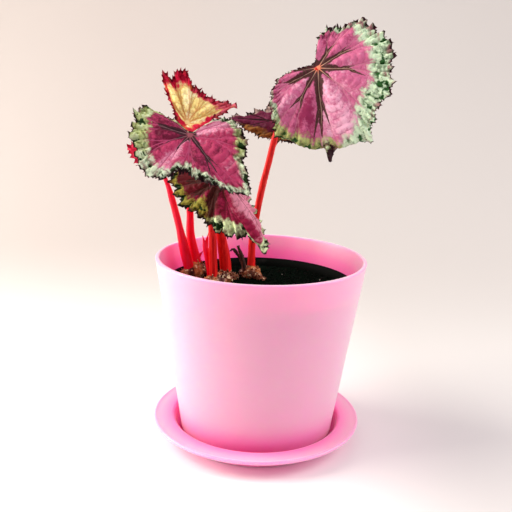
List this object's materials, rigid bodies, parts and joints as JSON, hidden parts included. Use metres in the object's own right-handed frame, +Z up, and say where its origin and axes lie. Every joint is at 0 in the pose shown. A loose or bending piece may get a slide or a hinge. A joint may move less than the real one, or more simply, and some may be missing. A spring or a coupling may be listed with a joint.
{
  "type": "potted begonia",
  "caption": "Rex begonia with large ruffled purple, pink and green leaves on red stalks, in a black nursery pot inside a tapered pink pot on a saucer.",
  "frame": {"origin": "centre of the saucer's underside, on the surface that the plant stands on", "axes": "+Z up, -Y towards the side that the two large leaves face, +X to the right seen from there"},
  "size_m": [0.155, 0.1318, 0.2587],
  "materials": {
    "pink_pot": "smooth, satin",
    "black_pot": "thin formed plastic, satin",
    "soil": "damp potting mix, rough",
    "rhizome": "scaly, matt",
    "stalk": "fleshy with fine hairs, satin",
    "dry_stalk": "withered, matt",
    "leaf": "blistered leaf with a metallic sheen",
    "young_leaf": "glossy young leaf"
  },
  "bodies": {
    "root": {"saucer": "pink_pot", "pot": "pink_pot", "nursery_pot": "black_pot", "soil": "soil", "rhizome_left": "rhizome", "rhizome_middle": "rhizome", "rhizome_right": "rhizome", "shoot": "stalk", "dry_stalks": "dry_stalk", "stalk_tall": "stalk", "stalk_front": "stalk", "stalk_low": "stalk", "stalk_young": "stalk", "stalk_bud": "stalk", "stalk_rear": "stalk", "blade_tall": "leaf", "blade_front": "leaf", "blade_low": "leaf", "blade_young": "young_leaf", "blade_rear": "leaf", "blade_bud": "young_leaf"}
  },
  "joints": []
}
